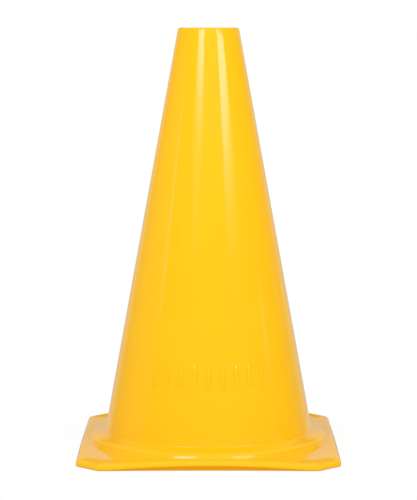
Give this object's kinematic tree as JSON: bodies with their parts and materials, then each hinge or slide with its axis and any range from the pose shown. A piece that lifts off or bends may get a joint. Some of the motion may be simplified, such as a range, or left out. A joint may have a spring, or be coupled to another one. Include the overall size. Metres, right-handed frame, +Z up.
{
  "type": "sports marker cone",
  "caption": "Free-standing yellow plastic training cone: open tapered shell on a square clipped-corner base with a raised round shoulder, for marking a pitch.",
  "frame": {"origin": "centre of the square base, on the floor that the cone stands on", "axes": "+Z up along the cone's axis, -Y towards the front with the raised bars, X along the front edge"},
  "size_m": [0.14, 0.14, 0.23],
  "materials": {
    "yellow_plastic": "soft moulded polyethylene, semi-gloss, coloured right through"
  },
  "bodies": {
    "root": {"top_rim": "yellow_plastic", "cone_wall": "yellow_plastic", "base_shoulder": "yellow_plastic", "base_web": "yellow_plastic", "edge_lip": "yellow_plastic", "raised_bars": "yellow_plastic"}
  },
  "joints": []
}
